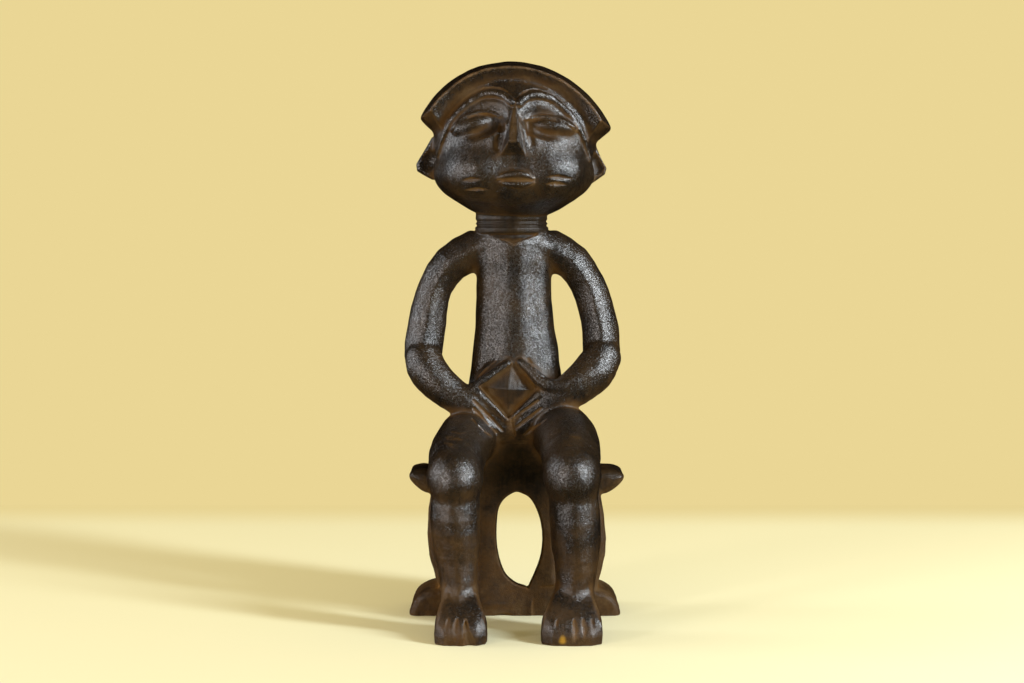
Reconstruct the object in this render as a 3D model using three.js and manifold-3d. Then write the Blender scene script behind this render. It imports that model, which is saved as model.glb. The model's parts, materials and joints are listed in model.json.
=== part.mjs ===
// A carved wooden fertility figure, seated on a stool with an openwork column.
// Millimetres, +Z up. The figure faces -Y, so its own left side lies on +X.
// The real carving is one block of wood: each mesh below is one carved form of it, and the
// meshes meet at the creases that divide those forms, a hair's breadth apart.
import * as THREE from "three";
import { mergeVertices } from "three/addons/utils/BufferGeometryUtils.js";
import Module from "manifold-3d";

const wasm = await Module();
wasm.setup();

// ---------------------------------------------------------------- driving dimensions, mm
const GAP = 0.3; // clearance between two forms that meet
const SINK = 4; // how far a form is rooted in its neighbour before it is cut back

// stool
const STOOL_Y = 9; // centre line of the stool, behind the figure's own centre plane
const BASE_WIDTH = 104;
const BASE_DEPTH = 34;
const BASE_HEIGHT = 13;
const BASE_END_HEIGHT = 5; // upright part of the rounded ends
const COLUMN_BULGE = 89; // widest, at mid height
const COLUMN_WAIST = 82; // width where it meets the base and the seat
const COLUMN_DEPTH = 29;
const COLUMN_HEIGHT = 47.5;
const HOLE_WIDTH = 24.5;
const HOLE_HEIGHT = 50;
const HOLE_X = 1.8; // the hole is cut a little off the middle
const HOLE_BITE = 4; // how far it dips into the top of the base
const SEAT_SPAN = 108;
const SEAT_DEPTH = 34;
const SEAT_THICKNESS = 9.5;
const SEAT_RISE = 3.5; // the ends turn up by this much
const SEAT_TIP = 12; // length of the slanted underside at each end
const EDGE = 1.5; // rounding of the stool's edges

// trunk
const TRUNK_Y = 8;
const HIPS_WIDTH = 62;
const HIPS_DEPTH = 38;
const HIPS_HEIGHT = 35;
const TORSO_LENGTH = 86; // top of the hips to the shoulders
const TORSO_DEPTH = 31;
const CHEST_WIDTH = 37;
const WAIST_WIDTH = 48;
const GROOVE_DEPTH = 1.6; // furrow down the front of the torso
const NECK_WIDTH = 35;
const NECK_LENGTH = 9; // visible, shoulders to chin
const NECK_X = -1.5;
const RING_PROUD = 1.2;

// head
const HEAD_WIDTH = 78;
const HEAD_DEPTH = 70;
const HEAD_HEIGHT = 73;
const HEAD_Y = 5;
const HEAD_TILT = 0.1; // radians; the face looks slightly upwards
const CHEEK_RADIUS = 16.5;
const CAP_SIDE_PROUD = 8.5; // how far the cap's pointed ends stand out past the head
const CAP_BACK_PROUD = 7;
const CAP_PROUD = 3.6; // cap surface above the crown of the head
const CAP_TIP_DROP = 32; // crown of the cap to its pointed ends
const CAP_RIM_FRONT = 12; // the rim's ends stand this far in front of the middle of the head
const CAP_ROLL = 0.05; // radians; the cap sits a little askew
const CAP_NAPE_SLOPE = 24; // degrees; its lower edge falls towards the nape
const CAP_RIM_LEAN = 10; // degrees; its rim leans forward
const EAR_LENGTH = 19;
const EAR_PROUD = 8.5;
const EAR_THICKNESS = 6;
const NOSE_LENGTH = 24;
const NOSE_WIDTH = 11.5;
const NOSE_PROUD = 4.5;
const BROW_WIDTH = 4.4;
const BROW_HEIGHT = 22; // root of the nose above the middle of the face
const EYE_HEIGHT = 12;
const EYE_SPAN = 36;
const EYE_WIDTH = 15;
const MOUTH_HEIGHT = -13.2;
const MOUTH_WIDTH = 17;
const LIP_SPACING = 4;

// limbs
const ARM_WIDTH = 18.6;
const FOREARM_WIDTH = 17;
const WRIST_WIDTH = 13;
const ELBOW_SPAN = 89; // between the elbows' centres
const HAND_THICKNESS = 6;
const LOZENGE_WIDTH = 26;
const LOZENGE_PROUD = 3.2;
const NAVEL_X = -3; // the diamond is carved a little off the middle
const THIGH_WIDTH = 27.5;
const KNEE_WIDTH = 28.4;
const KNEE_SPAN = 55; // between the knees' centres
const KNEE_HEIGHT = 75;
const KNEE_Y = -49;
const CALF_WIDTH = 24.4;
const ANKLE_WIDTH = 17.6;
const ANKLE_HEIGHT = 20;
const FOOT_WIDTH = 26;
const FOOT_LENGTH = 34;
const FOOT_Y = -71; // tips of the toes
const TOES = 5;
const TOE_CLEFT = 1.3;

// ---------------------------------------------------------------- levels that follow
const SEAT_TOP = BASE_HEIGHT + COLUMN_HEIGHT + SEAT_THICKNESS;
const HIPS_TOP = SEAT_TOP + HIPS_HEIGHT;
const SHOULDER_Z = HIPS_TOP + TORSO_LENGTH;
const CHIN_Z = SHOULDER_Z + NECK_LENGTH - SINK;
const HEAD_Z = CHIN_Z + HEAD_HEIGHT / 2;
const CAP_TOP = CHIN_Z + HEAD_HEIGHT + CAP_PROUD;
const BELLY_Y = TRUNK_Y - TORSO_DEPTH / 2; // front of the belly
const HAND_Z = HIPS_TOP + 8; // centre of the diamond that the hands frame

// ---------------------------------------------------------------- helpers
const vec = (x, y, z) => new THREE.Vector3(x, y, z);

// A closed three.js geometry as a manifold-3d solid.
function solid(geometry, matrix = new THREE.Matrix4()) {
  const plain = geometry.clone().applyMatrix4(matrix);
  plain.deleteAttribute("normal");
  plain.deleteAttribute("uv");
  const merged = mergeVertices(plain, 1e-4);
  const vertProperties = merged.attributes.position.array;
  const triVerts = new Uint32Array(merged.index.array);
  return new wasm.Manifold(new wasm.Mesh({ numProp: 3, vertProperties, triVerts }));
}

function placed({ at = [0, 0, 0], turn = [0, 0, 0], scale = [1, 1, 1] }) {
  const rotation = new THREE.Quaternion().setFromEuler(new THREE.Euler(...turn));
  return new THREE.Matrix4().compose(vec(...at), rotation, vec(...scale));
}

function ellipsoid(at, [rx, ry, rz], { grow = 0, detail = 18, turn = [0, 0, 0] } = {}) {
  const unit = new THREE.SphereGeometry(1, detail, Math.round(detail * 0.6));
  unit.rotateX(Math.PI / 2); // poles along Z
  return solid(unit, placed({ at, turn, scale: [rx + grow, ry + grow, rz + grow] }));
}

function block(at, size, turn = [0, 0, 0]) {
  return solid(new THREE.BoxGeometry(...size), placed({ at, turn }));
}

// A front view (X, Z) outline given thickness along Y, with its edges rounded by `edge`.
function slab(outline, yFront, depth, edge, grow = 0, curveSegments = 6) {
  const bevel = edge + grow;
  const geometry = new THREE.ExtrudeGeometry(outline, {
    depth: depth - 2 * edge,
    bevelEnabled: bevel > 0,
    bevelThickness: bevel,
    bevelSize: bevel,
    bevelSegments: 2,
    curveSegments,
  });
  geometry.rotateX(Math.PI / 2); // outline's Y becomes Z, thickness runs along -Y
  geometry.translate(0, yFront + depth - edge, 0);
  return solid(geometry);
}

// A limb: an elliptical section carried along a smooth curve through `stations`, each
// [x, y, z, width, depth]. `across` is the direction that the width is measured in.
function limb(stations, { grow = 0, sides = 14, steps = 10, across = vec(1, 0, 0), furrow = 0 } = {}) {
  const curve = new THREE.CatmullRomCurve3(stations.map(([x, y, z]) => vec(x, y, z)));
  const widths = new THREE.SplineCurve(stations.map(([, , , w, d]) => new THREE.Vector2(w, d)));
  const geometry = new THREE.CylinderGeometry(1, 1, 1, sides, steps);
  const spots = geometry.attributes.position;
  for (let i = 0; i < spots.count; i++) {
    const t = spots.getY(i) + 0.5;
    const [u, v] = [spots.getX(i), spots.getZ(i)];
    const tangent = curve.getTangent(t);
    const front = across.clone().cross(tangent).normalize();
    const side = tangent.clone().cross(front).normalize();
    const size = widths.getPoint(t);
    const dent = v > 0 ? furrow * Math.exp(-((u / 0.25) ** 2)) : 0;
    const spot = curve.getPoint(t);
    spot.addScaledVector(side, u * (size.x / 2 + grow));
    spot.addScaledVector(front, v * (size.y / 2 + grow) - dent);
    spot.addScaledVector(tangent, (2 * t - 1) * grow);
    spots.setXYZ(i, spot.x, spot.y, spot.z);
  }
  return solid(geometry);
}

function mirrorIf(side, points) {
  return points.map(([x, ...rest]) => [side * x, ...rest]);
}

// ---------------------------------------------------------------- stool
function baseOutline() {
  const half = BASE_WIDTH / 2 - EDGE;
  const top = BASE_HEIGHT - EDGE;
  const shape = new THREE.Shape();
  shape.moveTo(-half, EDGE);
  shape.lineTo(half, EDGE);
  shape.lineTo(half, BASE_END_HEIGHT);
  shape.quadraticCurveTo(half - 2, top - 2, COLUMN_WAIST / 2 - EDGE, top);
  shape.lineTo(-COLUMN_WAIST / 2 + EDGE, top);
  shape.quadraticCurveTo(-half + 2, top - 2, -half, BASE_END_HEIGHT);
  return shape;
}

function hole(grow = 0) {
  const middle = BASE_HEIGHT - HOLE_BITE + HOLE_HEIGHT / 2;
  const tube = new THREE.CylinderGeometry(1, 1, 3 * SEAT_DEPTH, 24);
  const scale = [HOLE_WIDTH / 2 + grow, 1, HOLE_HEIGHT / 2 + grow];
  return solid(tube, placed({ at: [HOLE_X, STOOL_Y, middle], scale }));
}

function stoolBase(grow = 0) {
  return slab(baseOutline(), STOOL_Y - BASE_DEPTH / 2, BASE_DEPTH, EDGE, grow).subtract(hole(-grow));
}

function stoolSeat(grow = 0) {
  const half = SEAT_SPAN / 2 - EDGE;
  const under = SEAT_TOP - SEAT_THICKNESS + EDGE;
  const top = SEAT_TOP - EDGE;
  const shape = new THREE.Shape();
  shape.moveTo(-half + SEAT_TIP, under);
  shape.lineTo(half - SEAT_TIP, under);
  shape.quadraticCurveTo(half - 3, under + 2.5, half, under + SEAT_THICKNESS - 3);
  shape.quadraticCurveTo(half, top + SEAT_RISE, half - 4, top + SEAT_RISE);
  shape.quadraticCurveTo(half / 2, top, 0, top);
  shape.quadraticCurveTo(-half / 2, top, -half + 4, top + SEAT_RISE);
  shape.quadraticCurveTo(-half, top + SEAT_RISE, -half, under + SEAT_THICKNESS - 3);
  shape.quadraticCurveTo(-half + 3, under + 2.5, -half + SEAT_TIP, under);
  return slab(shape, STOOL_Y - SEAT_DEPTH / 2, SEAT_DEPTH, EDGE, grow);
}

function stoolColumn(grow = 0) {
  const low = BASE_HEIGHT - SINK;
  const high = BASE_HEIGHT + COLUMN_HEIGHT + SINK;
  const mid = (low + high) / 2;
  const waist = COLUMN_WAIST / 2 - EDGE;
  const bulge = COLUMN_BULGE - COLUMN_WAIST / 2 - EDGE; // control point of a curve through the widest
  const shape = new THREE.Shape();
  shape.moveTo(-waist, low);
  shape.lineTo(waist, low);
  shape.quadraticCurveTo(bulge, mid, waist, high);
  shape.lineTo(-waist, high);
  shape.quadraticCurveTo(-bulge, mid, -waist, low);
  return slab(shape, STOOL_Y - COLUMN_DEPTH / 2, COLUMN_DEPTH, EDGE, grow).subtract(hole());
}

// ---------------------------------------------------------------- trunk
function hips(grow = 0) {
  const z = SEAT_TOP - SINK / 2;
  return limb(
    [
      [0, TRUNK_Y, z, HIPS_WIDTH - 14, HIPS_DEPTH - 8],
      [0, TRUNK_Y, z + HIPS_HEIGHT * 0.3, HIPS_WIDTH, HIPS_DEPTH],
      [0, TRUNK_Y, z + HIPS_HEIGHT * 0.7, HIPS_WIDTH - 4, HIPS_DEPTH - 1],
      [0, TRUNK_Y, HIPS_TOP, WAIST_WIDTH, HIPS_DEPTH - 6],
    ],
    { grow, sides: 20, steps: 6 },
  );
}

function torso(grow = 0) {
  const y = TRUNK_Y;
  const at = (share) => HIPS_TOP + share * TORSO_LENGTH;
  return limb(
    [
      [0, y, HIPS_TOP - SINK, WAIST_WIDTH, TORSO_DEPTH + 2],
      [0, y, at(0.12), WAIST_WIDTH + 2, TORSO_DEPTH + 2],
      [0, y, at(0.36), CHEST_WIDTH + 5, TORSO_DEPTH],
      [0, y, at(0.62), CHEST_WIDTH, TORSO_DEPTH - 3],
      [0, y, at(0.82), CHEST_WIDTH + 6, TORSO_DEPTH - 3],
      [NECK_X / 2, y, at(0.93), CHEST_WIDTH + 10, TORSO_DEPTH - 5],
      [NECK_X, y, at(1.0), NECK_WIDTH + 3, TORSO_DEPTH - 9],
    ],
    { grow, sides: 24, steps: 12, furrow: GROOVE_DEPTH },
  );
}

function neck(grow = 0) {
  const radius = NECK_WIDTH / 2 + grow;
  const low = SHOULDER_Z - SINK - 2;
  const high = CHIN_Z + SINK + 3;
  const ring = SHOULDER_Z + 1;
  const profile = [
    [0, low],
    [radius, low],
    [radius, ring - 3],
    [radius + RING_PROUD, ring - 1.2],
    [radius + RING_PROUD, ring + 1.2],
    [radius, ring + 2.4],
    [radius + RING_PROUD / 2, ring + 4],
    [radius - 1, ring + 5.5],
    [radius - 1, high],
    [0, high],
  ];
  const geometry = new THREE.LatheGeometry(profile.map(([r, z]) => new THREE.Vector2(r, z)), 24);
  geometry.rotateX(Math.PI / 2);
  const scale = [1, 0.88, 1];
  return solid(geometry, placed({ at: [NECK_X, TRUNK_Y, 0], scale }));
}

// ---------------------------------------------------------------- head
// A point of the face given by its place in front of the head's centre, before the tilt.
function onHead(x, z, proud = 0) {
  const [rx, ry, rz] = [HEAD_WIDTH / 2, HEAD_DEPTH / 2, HEAD_HEIGHT / 2];
  const depth = Math.sqrt(Math.max(0, 1 - (x / rx) ** 2 - (z / rz) ** 2));
  return [x, -ry * depth - proud, z];
}

function toWorld([x, y, z]) {
  const tilted = vec(x, y, z).applyAxisAngle(vec(1, 0, 0), -HEAD_TILT);
  return [tilted.x, tilted.y + HEAD_Y, tilted.z + HEAD_Z];
}

function brow(side) {
  const [inner, outer] = [2.5, HEAD_WIDTH / 2 - 3];
  const stations = [];
  for (let i = 0; i <= 6; i++) {
    const share = i / 6;
    const x = inner + (outer - inner) * share;
    const arch = BROW_WIDTH * Math.sin(Math.PI * Math.min(1, share * 1.4));
    const z = BROW_HEIGHT + arch - (BROW_HEIGHT + 2) * share ** 3;
    stations.push([...toWorld(onHead(side * x, z, -0.6)), BROW_WIDTH, BROW_WIDTH]);
  }
  return limb(stations, { sides: 6, steps: 8, across: vec(0, -1, 0) });
}

function nose() {
  const along = (share, proud) => toWorld(onHead(0, BROW_HEIGHT - NOSE_LENGTH * share, proud));
  const [top, mid, tip] = [along(0, -1), along(0.55, NOSE_PROUD * 0.35), along(1, NOSE_PROUD * 0.5)];
  return limb(
    [
      [...top, 3, 5],
      [...mid, NOSE_WIDTH * 0.6, NOSE_PROUD * 1.6],
      [...tip, NOSE_WIDTH, NOSE_PROUD * 1.5],
    ],
    { sides: 8, steps: 4 },
  );
}

function head(grow = 0) {
  const centre = [0, HEAD_Y, HEAD_Z];
  const half = [HEAD_WIDTH / 2, HEAD_DEPTH / 2, HEAD_HEIGHT / 2];
  let made = ellipsoid(centre, half, { grow, detail: 26 });
  const cheekZ = HEAD_HEIGHT * -0.19;
  const cheekX = HEAD_WIDTH / 2 - CHEEK_RADIUS - 1.5;
  for (const side of [-1, 1]) {
    const at = toWorld([side * cheekX, 4 - HEAD_DEPTH / 4, cheekZ]);
    const radii = [CHEEK_RADIUS, CHEEK_RADIUS, CHEEK_RADIUS];
    made = made.add(ellipsoid(at, radii, { grow, detail: 16 }));
  }
  if (grow) return made; // only the outside matters to what rests against it
  const lid = [EYE_WIDTH / 2, 3, 3.4];
  const lip = [MOUTH_WIDTH / 2, 3, LIP_SPACING / 2];
  for (const side of [-1, 1]) {
    made = made.add(brow(side));
    const at = toWorld(onHead((side * EYE_SPAN) / 2, EYE_HEIGHT, -1));
    made = made.add(ellipsoid(at, lid, { detail: 10 }));
    const lipZ = MOUTH_HEIGHT + (side * LIP_SPACING) / 2;
    made = made.add(ellipsoid(toWorld(onHead(0, lipZ, -0.6)), lip, { detail: 10 }));
  }
  return made.add(nose());
}

function cap(grow = 0) {
  const radius = HEAD_WIDTH / 2 + CAP_SIDE_PROUD;
  const depth = HEAD_DEPTH / 2 + CAP_BACK_PROUD;
  const centre = [0, HEAD_Y, CAP_TOP - radius];
  let made = ellipsoid(centre, [radius, depth, radius], { grow, detail: 26 });
  const rimY = HEAD_Y - CAP_RIM_FRONT;
  const tipZ = CAP_TOP - CAP_TIP_DROP;
  const big = 6 * radius;
  // what lies below the edge that runs from the pointed ends down to the nape
  const below = block([0, 0, -big / 2 - grow], [big, big, big]);
  const front = block([0, -big / 2 - grow, 0], [big, big, big]);
  const roll = THREE.MathUtils.radToDeg(CAP_ROLL);
  made = made.subtract(below.rotate([-CAP_NAPE_SLOPE, roll, 0]).translate([0, rimY, tipZ]));
  // what lies in front of the rim
  return made.subtract(front.rotate([CAP_RIM_LEAN, 0, 0]).translate([0, rimY, tipZ]));
}

function ear(side, grow = 0) {
  const inner = HEAD_WIDTH / 2 - 6;
  const outer = HEAD_WIDTH / 2 + EAR_PROUD - 1;
  const z = HEAD_Z - 8;
  const shape = new THREE.Shape();
  shape.moveTo(inner, z + EAR_LENGTH / 2);
  shape.lineTo(inner, z - EAR_LENGTH / 2);
  shape.lineTo(outer - 4, z - EAR_LENGTH / 2 + 3);
  shape.quadraticCurveTo(outer + 1, z - EAR_LENGTH / 6, outer - 1, z);
  shape.lineTo(inner + 8, z + EAR_LENGTH / 2);
  const made = slab(shape, HEAD_Y - EAR_THICKNESS / 2, EAR_THICKNESS, 1, grow, 6);
  return side > 0 ? made : made.mirror([1, 0, 0]);
}

// ---------------------------------------------------------------- limbs
const elbowZ = HIPS_TOP + 18;
const elbowX = ELBOW_SPAN / 2;
const wristX = LOZENGE_WIDTH / 2 + 4;

function upperArm(side, grow = 0) {
  const w = ARM_WIDTH;
  return limb(
    mirrorIf(side, [
      [CHEST_WIDTH / 2 - 4, TRUNK_Y, SHOULDER_Z - 9, w - 4, w - 3],
      [CHEST_WIDTH / 2 + 10, TRUNK_Y, SHOULDER_Z - 17, w - 3, w - 2],
      [elbowX - 5, TRUNK_Y - 1, SHOULDER_Z - 34, w - 1, w],
      [elbowX - 1, TRUNK_Y - 3, elbowZ + 20, w, w],
      [elbowX, TRUNK_Y - 6, elbowZ + 2, w + 0.5, w],
      [elbowX - 3, TRUNK_Y - 8, elbowZ - 6, w - 3, w - 4],
    ]),
    { grow, sides: 12, steps: 10 },
  );
}

function forearm(side, grow = 0) {
  const w = FOREARM_WIDTH;
  return limb(
    mirrorIf(side, [
      [elbowX - 1, TRUNK_Y - 10, elbowZ + 7, w - 7, w - 5],
      [elbowX - 3, TRUNK_Y - 12, elbowZ - 2, w, w - 2],
      [elbowX - 14, BELLY_Y - 6, elbowZ - 10, w, w - 2],
      [wristX + 6, BELLY_Y - 6, elbowZ - 14, w - 2, w - 4],
      [wristX - 3, BELLY_Y - 5, elbowZ - 17, WRIST_WIDTH, HAND_THICKNESS + 3],
    ]),
    { grow, sides: 12, steps: 10 },
  );
}

function diamond() {
  const half = LOZENGE_WIDTH / 2;
  const prism = new THREE.CylinderGeometry(half, half, 4 * TORSO_DEPTH, 4);
  return solid(prism, placed({ at: [NAVEL_X, BELLY_Y, HAND_Z] }));
}

function hand(side, grow = 0) {
  const half = LOZENGE_WIDTH / 2;
  const shape = new THREE.Shape();
  const reach = wristX + 8 - side * NAVEL_X;
  shape.moveTo(0, half + 3);
  shape.lineTo(half + 1, 5);
  shape.lineTo(reach, 0);
  shape.lineTo(reach, -12);
  shape.quadraticCurveTo(half - 1, -17, 4, -21);
  shape.lineTo(0, -20);
  const edge = 1;
  let made = slab(shape, BELLY_Y - HAND_THICKNESS, HAND_THICKNESS + 8, edge, grow, 4);
  made = made.translate([side * NAVEL_X, 0, HAND_Z]);
  if (side < 0) made = made.mirror([1, 0, 0]);
  const far = HEAD_WIDTH;
  const ownSide = [side * (far / 2 + GAP / 2 - grow) + NAVEL_X, BELLY_Y, HAND_Z];
  made = made.intersect(block(ownSide, [far, far, 2 * far]));
  if (grow) return made;
  made = made.subtract(diamond());
  // creases between the fingers
  for (let i = 1; i <= 3; i++) {
    const offset = i * 3.4;
    const crease = block([0, BELLY_Y - HAND_THICKNESS - 1, 0], [17, 2.6, 0.9], [0, side * -0.85, 0]);
    const at = [NAVEL_X + side * (8 + offset * 0.75), 0, HAND_Z - 10 - offset * 0.55];
    made = made.subtract(crease.translate(at));
  }
  return made;
}

// A low pyramid that fills the diamond, on a four-sided root sunk into the belly.
function lozenge() {
  const half = LOZENGE_WIDTH / 2 - 2 * GAP;
  const profile = [
    [0, -LOZENGE_PROUD],
    [half, 0],
    [half, SINK + 2],
    [0, SINK + 2],
  ];
  const geometry = new THREE.LatheGeometry(profile.map(([r, y]) => new THREE.Vector2(r, y)), 4);
  return solid(geometry, placed({ at: [NAVEL_X, BELLY_Y, HAND_Z] }));
}

const kneeX = KNEE_SPAN / 2;

function thigh(side, grow = 0) {
  const w = THIGH_WIDTH;
  const hipZ = SEAT_TOP + HIPS_HEIGHT * 0.52;
  const bone = limb(
    mirrorIf(side, [
      [HIPS_WIDTH / 2 - 13, TRUNK_Y + 2, hipZ, w - 3, w - 3],
      [HIPS_WIDTH / 2 - 8, TRUNK_Y - 16, hipZ - 2, w, w],
      [kneeX, KNEE_Y + 16, KNEE_HEIGHT + 8, w, w - 1],
      [kneeX, KNEE_Y + 1, KNEE_HEIGHT + 1, w - 4, w - 4],
    ]),
    { grow, sides: 14, steps: 8 },
  );
  const radius = KNEE_WIDTH / 2;
  return bone.add(ellipsoid([side * kneeX, KNEE_Y, KNEE_HEIGHT], [radius, radius - 1, radius - 1], { grow }));
}

function shin(side, grow = 0) {
  const fore = KNEE_Y + 1;
  return limb(
    mirrorIf(side, [
      [kneeX, fore, KNEE_HEIGHT - 6, CALF_WIDTH - 3, CALF_WIDTH - 3],
      [kneeX, fore, KNEE_HEIGHT - 20, CALF_WIDTH, CALF_WIDTH - 1],
      [kneeX, fore + 1, ANKLE_HEIGHT + 18, CALF_WIDTH - 3, CALF_WIDTH - 3],
      [kneeX - 0.5, fore + 1, ANKLE_HEIGHT, ANKLE_WIDTH, ANKLE_WIDTH],
      [kneeX - 0.5, fore + 1, ANKLE_HEIGHT - SINK, ANKLE_WIDTH, ANKLE_WIDTH],
    ]),
    { grow, sides: 14, steps: 8 },
  );
}

function foot(side) {
  const edge = 2.5;
  const heel = FOOT_Y + FOOT_LENGTH;
  const profile = new THREE.Shape(); // side view, X here is the part's Y
  profile.moveTo(FOOT_Y + edge, edge);
  profile.lineTo(heel - edge, edge);
  profile.lineTo(heel - edge, ANKLE_HEIGHT - 4);
  profile.lineTo(heel - 8, ANKLE_HEIGHT - edge);
  profile.lineTo(KNEE_Y - 8, ANKLE_HEIGHT - edge);
  profile.quadraticCurveTo(FOOT_Y + 6, 10, FOOT_Y + edge, 5);
  const geometry = new THREE.ExtrudeGeometry(profile, {
    depth: FOOT_WIDTH - 2 * edge,
    bevelThickness: edge,
    bevelSize: edge,
    bevelSegments: 2,
    curveSegments: 6,
  });
  // outline (X, Y) becomes (Y, Z), thickness runs along X
  geometry.applyMatrix4(new THREE.Matrix4().set(0, 0, 1, 0, 1, 0, 0, 0, 0, 1, 0, 0, 0, 0, 0, 1));
  geometry.translate(side * kneeX - FOOT_WIDTH / 2 + edge, 0, 0);
  let made = solid(geometry);
  const pitch = FOOT_WIDTH / TOES;
  for (let i = 1; i < TOES; i++) {
    const x = side * kneeX - FOOT_WIDTH / 2 + i * pitch;
    made = made.subtract(block([x, FOOT_Y, 4.6], [TOE_CLEFT, 12, 12]));
  }
  return made;
}

// ---------------------------------------------------------------- the carving
const patina = { figure: 0x2a211b, face: 0x2f2620, cap: 0x231c18, belly: 0x4a3422, stool: 0x3a2a1a };

// Each form, the finish it has, and the neighbours that it is cut back from.
const forms = [
  ["stool_base", patina.stool, stoolBase],
  ["stool_seat", patina.stool, stoolSeat],
  ["stool_column", patina.stool, stoolColumn, [stoolBase, stoolSeat]],
  ["hips", patina.stool, hips, [stoolSeat]],
  ["torso", patina.figure, torso, [hips]],
  ["head", patina.face, head],
  ["neck", patina.belly, neck, [torso, head]],
  ["cap", patina.cap, cap, [head]],
];
for (const [name, side] of [
  ["left", 1],
  ["right", -1],
]) {
  const of = (make) => (grow) => make(side, grow);
  const thighOf = of(thigh);
  forms.push(
    [`${name}_ear`, patina.face, of(ear), [head, cap]],
    [`${name}_upper_arm`, patina.figure, of(upperArm), [torso, neck]],
    [`${name}_forearm`, patina.figure, of(forearm), [torso, hips, of(upperArm), thighOf]],
    [`${name}_hand`, patina.figure, of(hand), [torso, hips, of(forearm), thighOf]],
    [`${name}_thigh`, patina.figure, thighOf, [torso, hips, stoolSeat, stoolColumn]],
    [`${name}_shin`, patina.figure, of(shin), [thighOf]],
    [`${name}_foot`, patina.figure, of(foot), [of(shin)]],
  );
}
forms.push(["navel_lozenge", patina.belly, lozenge, [torso, hips]]);

// A cut can leave a sliver on the far side of a neighbour: the form is its largest body.
function largest(made) {
  const parts = made.decompose();
  return parts.reduce((best, part) => (part.volume() > best.volume() ? part : best), parts[0]);
}

const carving = new THREE.Group();
for (const [name, color, make, neighbours = []] of forms) {
  let made = make(0);
  for (const neighbour of neighbours) made = made.subtract(neighbour(GAP));
  const { vertProperties, triVerts } = largest(made).getMesh();
  const geometry = new THREE.BufferGeometry();
  geometry.setAttribute("position", new THREE.BufferAttribute(vertProperties, 3));
  geometry.setIndex(new THREE.BufferAttribute(triVerts, 1));
  geometry.computeVertexNormals();
  const material = new THREE.MeshStandardMaterial({ color, roughness: 0.45, metalness: 0 });
  const mesh = new THREE.Mesh(geometry, material);
  mesh.name = name;
  carving.add(mesh);
}

// The part's origin is under the middle of its outline, on the surface that it stands on.
const bounds = new THREE.Box3().setFromObject(carving);
const middle = bounds.getCenter(new THREE.Vector3());
carving.position.set(-middle.x, -middle.y, -bounds.min.z);

const doll = new THREE.Group();
doll.add(carving);
export default doll;
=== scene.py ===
"""A carved wooden fertility figure on a stool: the looks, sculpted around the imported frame.

The whole carving is modelled as one distance field, the way it is cut from one block: forms are blended
together, grooves are cut in, and the surface is drawn through the field. Every form keeps its own closed
mesh, and neighbours share the vertices along the crease where they meet. Lengths are millimetres from the
middle of the stool's foot, which the frame places, until a mesh is written in metres.
"""

import json
import math

import bpy
import numpy as np
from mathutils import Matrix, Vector


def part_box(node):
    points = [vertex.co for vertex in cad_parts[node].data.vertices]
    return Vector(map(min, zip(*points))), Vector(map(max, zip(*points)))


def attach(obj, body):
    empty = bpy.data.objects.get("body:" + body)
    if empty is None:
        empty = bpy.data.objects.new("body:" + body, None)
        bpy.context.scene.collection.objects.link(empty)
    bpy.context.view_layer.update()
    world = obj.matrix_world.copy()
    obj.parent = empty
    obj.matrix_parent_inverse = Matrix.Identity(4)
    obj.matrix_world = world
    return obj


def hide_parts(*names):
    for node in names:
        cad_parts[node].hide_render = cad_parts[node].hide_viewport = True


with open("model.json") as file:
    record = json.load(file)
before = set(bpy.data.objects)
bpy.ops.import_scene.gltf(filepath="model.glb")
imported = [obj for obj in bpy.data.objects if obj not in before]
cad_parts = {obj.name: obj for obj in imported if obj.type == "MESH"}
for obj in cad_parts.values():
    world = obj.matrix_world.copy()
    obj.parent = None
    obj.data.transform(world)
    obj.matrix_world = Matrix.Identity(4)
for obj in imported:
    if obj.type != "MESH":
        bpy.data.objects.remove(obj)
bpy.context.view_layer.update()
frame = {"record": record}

MM = 0.001
VOXEL = 0.5
FAR = 30.0  # a distance that stands for "nowhere near"


def placed(name, data):
    """A new object in the scene."""
    made = bpy.data.objects.new(name, data)
    bpy.context.scene.collection.objects.link(made)
    return made


def middle(node):
    low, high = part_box(node)
    return (np.array(low) + np.array(high)) / 2 / MM


FOOT = middle("stool_base")
FOOT[2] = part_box("stool_base")[0][2] / MM

# The middle of each node's box, from the foot, as the forms below are drawn. A form is carved where its
# node's box really is: Block.hold moves it by the difference.
DRAWN = {
    "stool_base": (0, 0, 6.5),
    "stool_column": (0, 0, 36.65),
    "stool_seat": (0, 0, 67),
    "hips": (0, -1, 87.4),
    "torso": (0, -0.45, 148.45),
    "neck": (-1.7, -1, 193),
    "head": (0, -6.9, 232.5),
    "cap": (0.55, 8.4, 244.65),
    "right_ear": (-40.4, -4, 224.65),
    "left_ear": (40.4, -4, 224.3),
    "right_upper_arm": (-36.25, -4.3, 150),
    "left_upper_arm": (36.25, -4.3, 150),
    "right_forearm": (-30.7, -18.85, 115.9),
    "left_forearm": (30.7, -18.85, 115.9),
    "right_hand": (-14.6, -15.5, 110.3),
    "left_hand": (11.6, -15.5, 110.3),
    "navel_lozenge": (-3, -16.9, 114.55),
    "right_thigh": (-25.65, -33.25, 81),
    "left_thigh": (25.65, -33.25, 81),
    "right_shin": (-27.5, -56.95, 42.1),
    "left_shin": (27.5, -56.95, 42.1),
    "right_foot": (-27.5, -63, 10),
    "left_foot": (27.5, -63, 10),
}


# ---------- distances
class Form:
    """A distance function and the box outside which it can be ignored."""

    def __init__(self, low, high, distance):
        self.low = np.asarray(low, float)
        self.high = np.asarray(high, float)
        self.distance = distance


def union(a, b, k):
    """The smaller distance, blended over a width of k."""
    low = np.minimum(a, b)
    if k <= 0:
        return low
    near = np.maximum(k - np.abs(a - b), 0)
    return low - near * near * (0.25 / k)


def common(a, b, k):
    return -union(-a, -b, k)


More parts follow.
